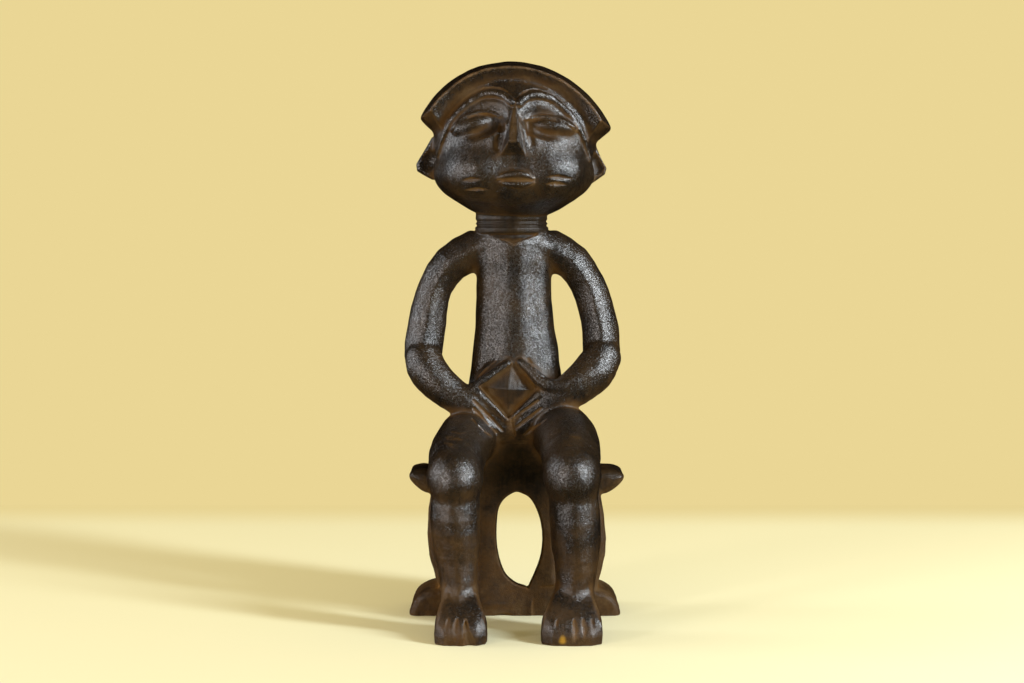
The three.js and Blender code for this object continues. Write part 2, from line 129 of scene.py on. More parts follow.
def joined(forms, k):
    low = np.min([f.low for f in forms], 0)
    high = np.max([f.high for f in forms], 0)

    def distance(x, y, z):
        made = forms[0].distance(x, y, z)
        for form in forms[1:]:
            made = union(made, form.distance(x, y, z), k)
        return made

    return Form(low, high, distance)


def clipped(form, half_space, k):
    """The form without what half_space(x, y, z) > 0 says lies outside."""
    return Form(form.low, form.high, lambda x, y, z: common(form.distance(x, y, z), half_space(x, y, z), k))


def ball(centre, radii, tilt=0):
    """An ellipsoid, turned by `tilt` degrees about the line from front to back."""
    cx, cy, cz = centre
    rx, ry, rz = radii
    reach = max(radii) if tilt else np.array(radii)
    c = np.float32(math.cos(math.radians(tilt)))
    s = np.float32(math.sin(math.radians(tilt)))

    def distance(x, y, z):
        dx, dy, dz = x - cx, y - cy, z - cz
        if tilt:
            dx, dz = c * dx - s * dz, s * dx + c * dz
        ax, ay, az = dx / rx, dy / ry, dz / rz
        k0 = np.sqrt(ax * ax + ay * ay + az * az)
        ax, ay, az = ax / rx, ay / ry, az / rz
        k1 = np.sqrt(ax * ax + ay * ay + az * az)
        return k0 * (k0 - 1) / np.maximum(k1, 1e-6)

    return Form(np.array(centre) - reach, np.array(centre) + reach, distance)


def smooth_path(stations, steps):
    """Catmull-Rom through the stations; every column is interpolated alike."""
    p = np.asarray(stations, float)
    p = np.vstack([2 * p[0] - p[1], p, 2 * p[-1] - p[-2]])
    out = []
    for i in range(1, len(p) - 2):
        a, b, c, d = p[i - 1 : i + 3]
        for t in np.arange(steps) / steps:
            square = (2 * a - 5 * b + 4 * c - d) * t**2
            cube = (3 * b - a - 3 * c + d) * t**3
            out.append(0.5 * (2 * b + (c - a) * t + square + cube))
    out.append(p[-2])
    return np.array(out)


def limb(stations, steps=4, power=2.0):
    """A tapering limb. A station is x, y, z, radius and, if the section isn't round, its radius from front to
    back. A power below 2 draws the section out to ridges at its front, back and sides."""
    rows = np.array([list(s) + ([s[3]] if len(s) == 4 else []) for s in stations], float)
    path = smooth_path(rows, steps) if steps > 1 else rows
    reach = np.maximum(path[:, 3], path[:, 4])[:, None]

    def distance(x, y, z):
        best = None
        for a, b in zip(path[:-1], path[1:]):
            e = b[:3] - a[:3]
            ee = max(float(e @ e), 1e-9)
            d = [x - a[0], y - a[1], z - a[2]]
            t = np.clip((d[0] * e[0] + d[1] * e[1] + d[2] * e[2]) * (1 / ee), 0, 1)
            w = [d[i] - t * e[i] for i in range(3)]
            wide = a[3] + t * (b[3] - a[3])
            deep = a[4] + t * (b[4] - a[4])
            v = w[1] * (wide / deep)
            u2 = w[2] ** 2 + w[0] ** 2
            if power == 2.0:
                size = np.sqrt(u2 + v * v)
            else:
                size = np.power(u2 + 1e-6, power / 2) + np.power(np.abs(v) + 1e-6, power)
                size = size ** (1 / power)
            made = (size - wide) * np.minimum(1, deep / wide)
            best = made if best is None else np.minimum(best, made)
        return best

    return Form((path[:, :3] - reach).min(0), (path[:, :3] + reach).max(0), distance)


def section(rows, z):
    """The middle x, half width and half depth at each height. In a row, the height comes second."""
    xs, zs, wides, deeps = zip(*rows)
    return [np.interp(z, zs, column).astype(np.float32) for column in (xs, wides, deeps)]


def turned(rows, middle_y):
    """A form whose level sections are ellipses: a row is its middle x, z, half width and half depth."""
    xs, zs, wides, deeps = zip(*rows)

    def distance(x, y, z):
        cx, rx, ry = section(rows, z)
        dx, dy = (x - cx) / rx, (y - middle_y) / ry
        k0 = np.sqrt(dx * dx + dy * dy)
        return k0 * (k0 - 1) / np.maximum(np.sqrt((dx / rx) ** 2 + (dy / ry) ** 2), 1e-6)

    low = [min(xs) - max(wides), middle_y - max(deeps), zs[0]]
    high = [max(xs) + max(wides), middle_y + max(deeps), zs[-1]]
    return Form(low, high, distance)


def outline_distance(points, x, z):
    """Signed distance to a closed XZ outline, for x shaped (n,1) and z shaped (1,m)."""
    p = np.asarray(points, float)
    best = None
    inside = None
    for a, b in zip(p, np.roll(p, -1, 0)):
        e = b - a
        wx, wz = x - a[0], z - a[1]
        t = np.clip((wx * e[0] + wz * e[1]) / max(float(e @ e), 1e-9), 0, 1)
        gap = (wx - e[0] * t) ** 2 + (wz - e[1] * t) ** 2
        best = gap if best is None else np.minimum(best, gap)
        crosses = (a[1] > z) != (b[1] > z)
        with np.errstate(divide="ignore", invalid="ignore"):
            left = x < a[0] + e[0] * (z - a[1]) / (e[1] if e[1] else 1e-9)
        flip = crosses & left
        inside = flip if inside is None else inside ^ flip
    return np.sqrt(best) * np.where(inside, -1, 1)


def slab(outline, front, back, edge):
    """An XZ outline given thickness from front to back, its edges rounded."""
    p = np.asarray(outline, float)
    low = [p[:, 0].min(), front, p[:, 1].min()]
    high = [p[:, 0].max(), back, p[:, 1].max()]

    def distance(x, y, z):
        flat = outline_distance(p, x[:, 0], z[0]).astype(np.float32)[:, None, :] + edge
        deep = np.abs(y - (front + back) / 2) - (back - front) / 2 + edge
        out = np.sqrt(np.maximum(flat, 0) ** 2 + np.maximum(deep, 0) ** 2)
        return out + np.minimum(np.maximum(flat, deep), 0) - edge

    return Form(low, high, distance)


# ---------- the block
class Block:
    """The block of wood: a grid of distances, and the form that owns each point."""

    def __init__(self, low, high, voxel):
        self.voxel = voxel
        self.low = np.asarray(low, float)
        self.axes = [np.arange(l, h, voxel, dtype=np.float32) for l, h in zip(low, high)]
        shape = [len(a) for a in self.axes]
        self.d = np.full(shape, FAR, np.float32)
        self.near = np.full(shape, FAR, np.float32)
        self.owner = np.zeros(shape, np.uint8)
        self.names = [None]
        self.marks = []
        self.shift = np.zeros(3)

    def hold(self, node):
        """Places what follows by a node's box."""
        self.shift = middle(node) - FOOT - DRAWN[node]

    def window(self, form, margin):
        cut = []
        for i, axis in enumerate(self.axes):
            a = int(np.searchsorted(axis, form.low[i] + self.shift[i] - margin))
            b = int(np.searchsorted(axis, form.high[i] + self.shift[i] + margin))
            cut.append(slice(max(a, 0), max(b, 1)))
        x, y, z = (self.axes[i][cut[i]] - np.float32(self.shift[i]) for i in range(3))
        return tuple(cut), x[:, None, None], y[None, :, None], z[None, None, :]

    def add(self, form, k, name=None, margin=6.0):
        at, x, y, z = self.window(form, margin)
        new = form.distance(x, y, z).astype(np.float32)
        self.d[at] = union(self.d[at], new, k)
        if name:
            if name not in self.names:
                self.names.append(name)
            closer = new < self.near[at]
            self.near[at] = np.where(closer, new, self.near[at])
            self.owner[at] = np.where(closer, self.names.index(name), self.owner[at])

    def grow(self, node, form, k):
        """Adds a form to a node, in the node's place."""
        self.hold(node)
        self.add(form, k, node)

    def cut(self, form, k, margin=4.0):
        at, x, y, z = self.window(form, margin)
        self.d[at] = common(self.d[at], -form.distance(x, y, z).astype(np.float32), k)

    def rename(self, old, new, low, high):
        """Gives the part of a form between two heights to another form."""
        for name in (old, new):
            if name not in self.names:
                self.names.append(name)
        a, b = (int(np.searchsorted(self.axes[2], h + self.shift[2])) for h in (low, high))
        band = self.owner[:, :, a:b]
        band[band == self.names.index(old)] = self.names.index(new)

    def mark(self, form, reach, kind):
        """Notes fresher wood on the surface within reach of a form: kind is "cut" or "chip"."""
        self.marks.append((form, reach, kind, self.shift))

    def front(self, x, z):
        """Where a line from the front at (x, z) first meets the wood."""
        i = int(round((x + self.shift[0] - self.low[0]) / self.voxel))
        k = int(round((z + self.shift[2] - self.low[2]) / self.voxel))
        column = self.d[i, :, k]
        hit = int(np.argmax(column < 0))
        if hit == 0:
            return float(self.axes[1][-1])
        a, b = float(column[hit - 1]), float(column[hit])
        return float(self.axes[1][hit - 1]) + self.voxel * a / (a - b) - self.shift[1]

    def on_front(self, points, lift=0.0, steps=4):
        """Points laid on the front: each is x, z and any further columns, which are kept."""
        path = smooth_path([list(p) + [0] for p in points], steps)[:, :-1]
        return [[p[0], self.front(p[0], p[1]) - lift, p[1], *p[2:]] for p in path]


def strand(block, points, lift=0.0, steps=4):
    """A thin form lying on the front: points are x, z, radius."""
    return limb(block.on_front(points, lift, steps), steps=1)


# ---------- stool
def curve(points, steps=5):
    """A smooth closed outline through the points."""
    p = np.array(points + points[:3], float)
    ring = smooth_path(p, steps)
    return ring[steps : steps * (len(points) + 1)]


def base_outline():
    wide, tall = 52.2, 14.4
    xs = wide * np.sin(np.linspace(-1, 1, 41) * math.pi / 2)
    arch = [(x, max(tall * (1 - abs(x / wide) ** 7) ** 0.5, 2.0)) for x in xs]
    return [(-wide, -5), (wide, -5)] + arch[::-1]


COLUMN_SIDES = [
    (-40.5, 66), (-42.6, 53), (-43.6, 41), (-42.6, 30), (-39.8, 20), (-37.4, 12), (-37, 3),
    (39.5, 3), (40.5, 12), (42.4, 20), (44.4, 29), (45, 38), (43.8, 50), (41, 66),
]
SEAT_RIGHT = [
    (-36, 60), (-44, 61), (-48.8, 64), (-52.2, 68), (-51.4, 71.2), (-46, 72.4), (-40, 71), (-30, 69),
    (-30, 62),
]
SEAT_LEFT = [
    (34, 60), (43, 60.2), (48.4, 62.2), (53, 66), (54, 69.4), (50, 71.6), (43, 72.2), (36, 70.6), (30, 69),
    (30, 62),
]
HOLE = [
    (-0.7, 61.9), (-7.8, 56), (-9.5, 45), (-8.9, 32), (-5.6, 21.5), (0, 16.2), (5.2, 14.2), (6.6, 13.6),
    (8.4, 17.6), (12.2, 27), (14, 37), (12.9, 49), (8.3, 58.6), (3.6, 61.4),
]


def stool(block):
    block.grow("stool_base", slab(base_outline(), -17, 17, 3.4), 1.0)
    block.grow("stool_column", slab(COLUMN_SIDES, -15.8, 15.4, 3.0), 0.8)
    block.grow("stool_seat", slab([(-38, 58), (38, 58), (38, 70), (-38, 70)], -16.0, 16.6, 3.0), 1.5)
    for end in (SEAT_RIGHT, SEAT_LEFT):
        block.add(slab(curve(end), -14.5, 16.6, 4.2), 1.5, "stool_seat")
    block.grow("stool_column", slab([(-20, 4), (20, 4), (19, 92), (-19, 92)], -17.3, 8, 2.5), 2)
    block.rename("stool_column", "stool_seat", 60.5, 71.5)
    block.rename("stool_column", "hips", 71.5, 99)
    # the front is hollowed a little between the legs
    block.cut(limb([(2, -80, 17, 64.4), (2, -80, 90, 64.4)], steps=1), 2)


def hole(block):
    """The eye of the stool, pared away behind so that its floor falls to the back."""
    block.hold("stool_column")
    ring = curve(HOLE, 4)
    front_y, back_y, fall = -17, 17, 5.5

    def distance(x, y, z):
        before, behind = (
            outline_distance(ring, x[:, 0], z[0] + drop).astype(np.float32)[:, None, :] for drop in (0, fall)
        )
        return before + (behind - before) * np.clip((y - front_y) / (back_y - front_y), 0, 1)

    block.cut(Form((-16, -30, 2), (18, 30, 66), distance), 0.7)
    # an old split below it
    block.cut(slab([(8.4, -4), (24, -4), (24, 15.5), (8.4, 14.4)], -40, -16.2, 0.2), 0.4)
    block.cut(ball((-6, -19, 0), (5.5, 4, 1.6)), 0.5)


# ---------- trunk
TRUNK_Y = -0.8


def collar(x, y, z):
    """Above this the neck shows, in a shallow V."""
    return (z - 183.6 - 0.44 * np.abs(x + 0.9) + 0.12 * (y + 14)) * 0.9


def trunk(block):
    block.hold("hips")
    lobes = ((0, 0, 86), (30, 17, 23)), ((-13, 6, 84), (16, 15, 18)), ((13, 6, 84), (16, 15, 18))
    block.add(joined([ball(*lobe) for lobe in lobes], 4), 4, "hips")
    block.hold("torso")
    rows = [
        (0.4, 92, 25.4, 16.4), (0.4, 98, 25.2, 16.4), (0.6, 112, 24.0, 16.2), (0.3, 125, 21.9, 15.8),
        (0.0, 141, 19.9, 15.3), (-0.35, 156, 18.7, 14.9), (-0.5, 168, 18.6, 14.7), (-0.7, 177, 19.2, 15.2),
        (-0.8, 184, 18.4, 15.6), (-0.8, 190, 16.0, 15.4), (-0.8, 196, 12.0, 14.6),
    ]
    turn, depth = math.radians(26), 0.75

    def flats(x, y, z):
        """A broad flat to either side of the middle, where the knife ran down the front."""
        cx, rx, ry = section(rows, z)
        reach = np.sqrt((rx * math.sin(turn)) ** 2 + (ry * math.cos(turn)) ** 2) - depth
        return np.abs(x - cx) * math.sin(turn) - (y - TRUNK_Y) * math.cos(turn) - reach

    torso = clipped(turned(rows, TRUNK_Y), flats, 0.8)
    block.add(clipped(torso, collar, 1.0), 3, "torso")


def neck(block):
    block.hold("neck")
    rows = [
        (176, 13.0, 8.4), (184, 16.6, 12.2), (187.2, 17.7, 13.6), (188.3, 16.6, 12.7), (189.3, 17.8, 14.7),
        (191.7, 18.3, 15.0), (192.7, 17.0, 13.9), (193.7, 18.0, 14.9), (194.7, 17.0, 13.9),
        (195.8, 17.8, 14.7), (206, 17.2, 14.2),
    ]
    block.add(turned([(-1.8, *row) for row in rows], -1.0), 0.6, "neck", margin=3.0)


# ---------- head
CAP_X, CAP_Y, CAP_Z = 0.3, -1.0, 222.0
CAP_WIDE, CAP_TALL, CAP_FORE, CAP_AFT = 51.6, 51.0, 60.0, 42.0
RIM_Y = -23.0
AT_RIM = math.sqrt(1 - ((RIM_Y - CAP_Y) / CAP_FORE) ** 2)  # how far out the rim is, of the cap's full width
CAP_ROLL = math.tan(math.radians(3.0))


def cap_form(skull):
    """A cap like a deep dish set on the back of the head: its rim stands forward round the forehead, and its
    ends come to points at the temples."""

    def distance(x, y, z):
        dx, dz = (x - CAP_X) / CAP_WIDE, (z + CAP_ROLL * x - CAP_Z) / CAP_TALL
        dy = y - CAP_Y
        dy = np.where(dy < 0, dy / CAP_FORE, dy / CAP_AFT)
        across = dx * dx + dz * dz
        dome = (np.sqrt(across + dy * dy) - 1) * 46
        inset = np.maximum(1 - np.sqrt(across) / AT_RIM, 0) * 50
        dish = (RIM_Y + 0.6 * inset - y) * 0.85
        outside_skull = np.maximum(skull.distance(x, y, z), 0)
        under = (235.6 + 0.80 * outside_skull - 0.055 * x - 0.10 * (y + 3) - z) * 0.76
        return common(common(dome, under, 0.8), dish, 0.9)

    return Form((-53, -24, 205), (53, 43, 275), distance)


def cap_rim():
    """The worn edge of the cap, all the way round the forehead."""
    stations = []
    for turn in np.radians(np.linspace(14, 166, 25)):
        x = CAP_WIDE * AT_RIM * math.cos(turn)
        z = CAP_TALL * AT_RIM * math.sin(turn)
        stations.append((CAP_X + x, RIM_Y - 0.2, CAP_Z + z - CAP_ROLL * x, 0.5))
    return limb(stations, steps=1)


def head(block):
    block.hold("head")
    skull = ball((-0.3, -3.0, 231.0), (39.9, 32.6, 36.3))
    block.add(skull, 0.8, "head")
    block.grow("cap", cap_form(skull), 2.6)
    block.mark(cap_rim(), 0.7, "cut")
    # cheeks, jaw and chin
    block.hold("head")
    for side in (-1, 1):
        block.add(ball((side * 15.8 - 0.5, -17.4, 219.2), (19.4, 19.0, 16.6)), 4.0, "head")
    block.add(ball((-0.4, -8.5, 218.0), (39.4, 24.5, 18.6)), 3.0, "head")
    block.add(ball((0.3, -22, 213.5), (13.5, 12.4, 12.5)), 4.5)
    sockets(block)
    brows(block)
    eyes(block)
    nose(block)
    mouth(block)
    scars(block)
    ears(block)


EAR_RIGHT = [(-34, 237), (-41, 236.2), (-44.8, 230), (-48.8, 222.8), (-48.4, 219.6), (-41, 215.2), (-33, 215)]
EAR_LEFT = [(33, 236), (39.5, 233.2), (42.2, 227), (45.2, 221), (44.4, 218), (37.4, 213), (31, 213)]


def ears(block):
    for name, outline, x, z in (("right_ear", EAR_RIGHT, -42.2, 224.4), ("left_ear", EAR_LEFT, 40.2, 222.6)):
        block.grow(name, slab(outline, -4.8, 2.2, 1.6), 1.0)
        block.cut(ball((x, -7.0, z), (4.4, 4.2, 6.2), 14 if x < 0 else -14), 0.9)


def sockets(block):
    """Hollows for the eyes, deepest beside the nose."""
    for x, z, tilt, deep in ((-18.5, 244.2, -14, 6.8), (17.2, 243.4, 10, 6.4)):
        y = block.front(x, z)
        block.cut(ball((x, y - 3.4, z + 0.3), (15.0, deep + 0.3, 9.9), tilt), 2.2)
    for side in (
        [(-6.6, 244, 0.6), (-6.9, 240, 1.8), (-7.5, 235, 1.9), (-8.2, 230, 0.9)],
        [(6.2, 243, 0.5), (6.7, 239.5, 1.2), (7.2, 235.5, 1.1), (7.8, 231.5, 0.5)],
    ):
        block.cut(strand(block, side, 0.2), 2.0)


def brows(block):
    """Arched brows that run down the temples, with a thin line above each."""
    for brow in (
        [(-1.2, 251.4, 1.7), (-4.5, 254.4, 2.2), (-8.5, 255.9, 2.4), (-13.8, 255.9, 2.3), (-20.2, 253, 2.1),
         (-26.4, 248, 1.9), (-31.6, 241.6, 1.7), (-35.2, 234.4, 1.4), (-37.6, 227, 1.0)],
        [(1.9, 251.2, 1.7), (4.8, 253.8, 2.2), (9.4, 255.2, 2.4), (14.7, 254.4, 2.3), (19.8, 251.9, 2.1),
         (26, 246.2, 1.9), (30.6, 239.6, 1.7), (33.8, 232.6, 1.4), (36.2, 225, 1.0)],
    ):
        block.add(strand(block, brow, 0.6), 1.2)
    for line in (
        [(-3.2, 256.2, 0.5), (-7.5, 258.9, 0.6), (-13.8, 259.2, 0.6), (-20.6, 256.6, 0.6), (-27, 251.6, 0.6),
         (-32.4, 245.2, 0.5)],
        [(2.6, 255.6, 0.5), (6.4, 257.9, 0.6), (11, 258.5, 0.6), (18.4, 256.2, 0.6), (25.2, 250.6, 0.6),
         (30.6, 243.4, 0.5)],
    ):
        block.cut(strand(block, line, 0.0), 0.5)


def eyes(block):
    """Nearly shut eyes: a swelling, the rim of the lid across it, and a groove under the rim."""
    for x, z, tilt, radii in ((-20.6, 241.0, -16, (9.6, 5.0, 4.6)), (18.4, 240.4, 6, (10.2, 5.0, 4.4))):
        y = block.front(x, z)
        block.add(ball((x, y + 1.1, z), radii, tilt), 2.4)
    for lid in (
        [(-30.6, 238.6, 0.6), (-26.3, 243.4, 0.8), (-20.8, 246.2, 0.9), (-15.2, 247.4, 0.9),
         (-11, 246.9, 0.8), (-7.6, 245.2, 0.5)],
        [(3.6, 243.6, 0.5), (9.2, 244.6, 0.8), (16.1, 245, 0.9), (23.1, 242.9, 0.8), (29.8, 238.9, 0.6)],
    ):
        block.add(strand(block, lid, 0.0), 0.6)
        block.cut(strand(block, [(x, z - 1.4, r - 0.35) for x, z, r in lid], 0.1), 0.4)


def mouth(block):
    """Two lips and the slit between them."""
    upper = [(-8.2, 215.6, 0.4), (-4, 216.9, 1.4), (0.8, 217.4, 2.0), (5, 216.8, 1.6), (8.6, 215.3, 0.5)]
    lower = [(-7.0, 213.4, 0.4), (-2.5, 212.9, 1.1), (1, 212.7, 1.4), (5, 212.8, 1.3), (8.6, 213.5, 0.5)]
    between = [(-8.4, 214.8, 0.2), (-3, 215.0, 0.35), (1, 214.8, 0.35), (5, 214.7, 0.3), (8.6, 214.5, 0.2)]
    block.add(strand(block, upper, 0.5), 1.3)
    block.add(strand(block, lower, 0.5), 1.1)
    slit = strand(block, between, 0.4)
    block.cut(slit, 0.3)
    block.mark(slit, 0.15, "cut")


def scars(block):
    """Two short cuts in each cheek."""
    for a, b in (
        ((-25.6, 214.3), (-16.4, 214.8)), ((-23.6, 209.9), (-13.6, 210.2)),
        ((15.1, 216.1), (26.9, 215.2)), ((15.3, 212.7), (24.4, 212.4)),
    ):
        midway = ((a[0] + b[0]) / 2, (a[1] + b[1]) / 2 + 0.2)
        scar = strand(block, [(*a, 0.3), (*midway, 1.0), (*b, 0.3)], 0.2)
        block.cut(scar, 0.3)
        block.mark(scar, 0.3, "cut")


def nose(block):
    """A straight wedge: a flat ridge that widens downward, steep sides, and a hollowed underside that slopes
    back to the lip."""
    top, tip, foot = 253.6, 232.6, 227.6
    y_top = block.front(0, top) - 0.3
    y_tip = block.front(0, tip - 4) - 7.4
    y_foot = y_tip + 6.5

    def distance(x, y, z):
        share = (top - z) / (top - tip)
        ridge = y_top + (y_tip - y_top) * share
        front = (ridge - y) * 0.96
        off = np.abs(x + 0.1 + 0.8 * share)
        side = (off - 0.3 - 2.3 * share - 0.22 * (y - ridge)) * 0.94
        under = (tip - (tip - foot) * (y - y_tip) / (y_foot - y_tip) - z) * 0.79
        return common(common(front, side, 0.3), under, 0.3)

    block.add(Form((-9, y_tip - 1, foot - 2), (8, y_foot + 3, top + 1), distance), 0.5, margin=2.0)
    block.mark(limb([(-0.3, y_top, top - 2, 0.5), (-1.2, y_tip, tip + 1, 1.4)], steps=1), 0.8, "cut")


# ---------- arms
def arms(block):
    right_arm = [
        (-8, 0, 185.4, 9.0), (-18.6, -0.5, 181.2, 9.8), (-31.0, -1.5, 174.0, 9.2), (-38.8, -2, 162.5, 8.4),
        (-42.3, -3, 150, 9.1), (-44.2, -4, 138, 9.6), (-45.0, -5.5, 129, 9.4),
    ]
    left_arm = [
        (7, 0, 185.4, 9.0), (17.2, -0.5, 181.2, 9.8), (28.2, -1.5, 174.8, 9.2), (35.7, -2, 164.2, 8.5),
        (40, -3, 152.2, 8.8), (42.3, -4, 141, 9.1), (42.9, -5.5, 131, 9.3),
    ]
    for name, stations in (("right_upper_arm", right_arm), ("left_upper_arm", left_arm)):
        block.grow(name, clipped(limb(stations, steps=2, power=1.5), collar, 2.0), 4.0)
    right_fore = [
        (-45.0, -10.5, 127, 9.2, 8), (-42.3, -13.5, 121, 9.7, 7.8), (-35.2, -16.5, 113.6, 8.9, 7),
        (-26.6, -18, 107.4, 7.8, 6), (-20, -18.5, 104.3, 7.4, 4.6),
    ]
    left_fore = [
        (42.9, -10.5, 128, 9.4, 8), (38.4, -14, 120.9, 10.3, 7.8), (30.2, -17, 114, 9.5, 7),
        (22.6, -18, 109.6, 8.3, 5.8), (18, -18.5, 107.4, 8, 4.6),
    ]
    for name, stations in (("right_forearm", right_fore), ("left_forearm", left_fore)):
        block.grow(name, limb(stations, steps=3, power=1.7), 0.8)


def hands(block):
    block.grow("navel_lozenge", ball((-3.5, -13, 111), (17, 6.2, 17)), 2)
    palms = (
        ("right_hand", [(-24, -18.5, 105.4, 8, 4.4), (-16, -18, 101.3, 9.2, 4), (-8.5, -17, 95.3, 7.2, 3.8)]),
        ("left_hand", [(20.5, -18.5, 107.4, 8.4, 4.6), (11.5, -18, 101.6, 9.2, 4), (4.3, -17, 95.8, 7.2, 3.8)])
    )
    thumbs = (
        ("right_hand", [(-27, -19.0, 108.5, 4.4), (-21, -19.6, 112.2, 3.4), (-15, -19.4, 117.2, 2.7),
                        (-9, -18.4, 121.6, 2.4), (-3.6, -17.4, 125.2, 2.1)]),
        ("left_hand", [(35, -18.4, 120, 4.4), (26, -20, 115.2, 4.2), (19.5, -20.2, 113.9, 3.8),
                       (13.4, -19.6, 116.4, 3.3), (7.6, -18.4, 121.8, 2.7), (2.6, -17.2, 126, 2.1)]),
    )
    forefingers = (
        ("right_hand", [(-19.4, -20.2, 112.2, 1.9), (-12, -20.2, 105.6, 1.9), (-3.9, -19.4, 97.8, 1.6)]),
        ("left_hand", [(12, -20.4, 110.4, 1.8), (5, -20.2, 104.4, 1.8), (-2.2, -19.4, 98, 1.5)]),
    )
    for forms, k in ((palms, 2.0), (thumbs, 1.2), (forefingers, 1.2)):
        for name, stations in forms:
            block.grow(name, limb(stations, steps=3), k)
    diamond(block)
    fingers(block)


def fingers(block):
    """Grooves between the fingers, between the two hands, and where the thumbs lie on the belly."""
    for line in (
        [(-20.2, 107.8), (-13, 100.2), (-6, 92.6)],
        [(-20.2, 103.8), (-14.6, 97.8), (-9, 91.8)],
        [(-20.5, 99.4), (-16, 95), (-11.3, 90.4)],
        [(-1.4, 98.0), (4.8, 102.8), (11.2, 107.6)],
        [(0.2, 93.8), (6.4, 98.8), (12.8, 103.9)],
        [(4.7, 90.5), (9.8, 94.8), (14.9, 99.2)],
        [(-1.6, 98), (-1.0, 94.4), (-0.2, 90)],
    ):
        widths = [0.4 + 0.35 * math.sin(math.pi * (0.25 + 0.3 * i)) for i in range(3)]
        groove = strand(block, [(x, z, wide) for (x, z), wide in zip(line, widths)], 0.1)
        block.cut(groove, 0.4)
        block.mark(groove, 0.2, "cut")
    for line in (
        [(-21.6, 114.6, 0.4), (-16.4, 120.4, 0.8), (-9.4, 126.6, 0.5)],
        [(6.6, 127.4, 0.5), (11.8, 120.6, 0.8), (17.6, 118.2, 0.5)],
    ):
        block.cut(strand(block, line, 0.2), 0.6)


def diamond(block):
    """A low four-sided boss in a sunk frame."""
    block.hold("navel_lozenge")
    corners = [(-2.1, 124.2), (-16.8, 114.2), (-3.3, 99.4), (9.6, 112.4)]
    sides = list(zip(corners, corners[1:] + corners[:1]))
    tip_x, tip_y, tip_z = -3.5, -21.4, 113.0
    base_y, border = -17.6, 0.7

    def beyond(a, b, x, z):
        """How far (x, z) is outside the side from a to b."""
        across, up = b[0] - a[0], b[1] - a[1]
        return ((x - a[0]) * up - (z - a[1]) * across) / math.hypot(across, up)

    def outside(x, z):
        return np.maximum.reduce([beyond(a, b, x, z) for a, b in sides])

    def boss(x, y, z):
        shares = [1 - beyond(a, b, x, z) / beyond(a, b, tip_x, tip_z) for a, b in sides]
        face_y = tip_y + (base_y - tip_y) * np.maximum(np.maximum.reduce(shares), 0)
        return common(outside(x, z), (face_y - y) * 0.95, 1.0)

    def frame_cut(x, y, z):
        return np.maximum(outside(x, z) - border, y - base_y)

    block.cut(Form((-19, -30, 97), (12, -16, 127), frame_cut), 0.4, margin=1.0)
    block.add(Form((-18, -23, 98), (11, -12, 126), boss), 0.3, "navel_lozenge", margin=1.0)


# ---------- legs
def legs(block):
    thighs = {
        "right_thigh": [
            (-14, 2, 89, 13.5), (-21.5, -12, 89.5, 14.4), (-26.0, -28, 86.0, 13.7), (-27.8, -42, 81, 13.7),
            (-28.2, -53, 76.0, 12.6),
        ],
        "left_thigh": [
            (14, 2, 90, 13.5), (21.4, -12, 91.2, 14.6), (25.8, -28, 88.3, 14.8), (26.8, -42, 82.4, 14.2),
            (26.9, -53, 77.0, 13.0),
        ],
    }
    kneecaps = {
        "right_thigh": ball((-28.2, -57.5, 73.2), (11.4, 12.6, 12.8)),
        "left_thigh": ball((26.9, -57.5, 74.0), (12.0, 12.8, 13.2)),
    }
    shins = {
        "right_shin": [
            (-28, -56.4, 66, 11.2), (-28.2, -56.5, 56, 11.9), (-27.7, -56, 44, 11.0), (-27.1, -56.5, 33, 9.4),
            (-26.4, -57.5, 22, 8.7), (-26, -58, 12, 9),
        ],
        "left_shin": [
            (27.4, -56.4, 66, 11.4), (28.2, -56.5, 54, 12.0), (28.6, -56, 42, 11.3), (28.8, -56.5, 32, 10),
            (28.0, -57.5, 22, 9.2), (27.4, -58, 12, 9.4),
        ],
    }
    for name, stations in thighs.items():
        block.grow(name, limb(stations, steps=3), 1.6)
    for name, kneecap in kneecaps.items():
        block.grow(name, kneecap, 6)
    for name, stations in shins.items():
        block.grow(name, limb(stations, steps=2, power=1.75), 2.2)
    feet(block)


def foot_form(heel_x, ankle_x, toe_x, heel, ankle, toes):
    """A wedge seen from above as a fan, its top sloping down to the toes. The heel, ankle and toes each have
    a middle x and a half width."""
    tip_y = -80.5
    half = [(heel, -46), (ankle, -58), (toes - 0.8, -72), (toes - 1.2, tip_y + 4), (toes * 0.6, tip_y + 0.8)]
    middles = [heel_x, ankle_x, toe_x, toe_x, toe_x]
    right = [(x + wide, y) for x, (wide, y) in zip(middles, half)]
    left = [(x - wide, y) for x, (wide, y) in zip(middles, half)]
    fan = right + [(toe_x, tip_y)] + left[::-1]
    instep_y, instep_z, slope = -67.0, 19.4, 0.84

    def distance(x, y, z):
        flat = outline_distance(fan, x[:, :, 0], y[:, :, 0]).astype(np.float32)[:, :, None]
        flat = flat + 0.10 * np.maximum(z - 4, 0) + 0.05 * np.maximum(4 - z, 0)
        top = (z - instep_z - slope * (y - instep_y)) * 0.86
        return common(flat, np.maximum(top, z - 22.5), 4.5)

    xs = [p[0] for p in fan]
    return Form((min(xs), tip_y, 0), (max(xs), -44, 22), distance)


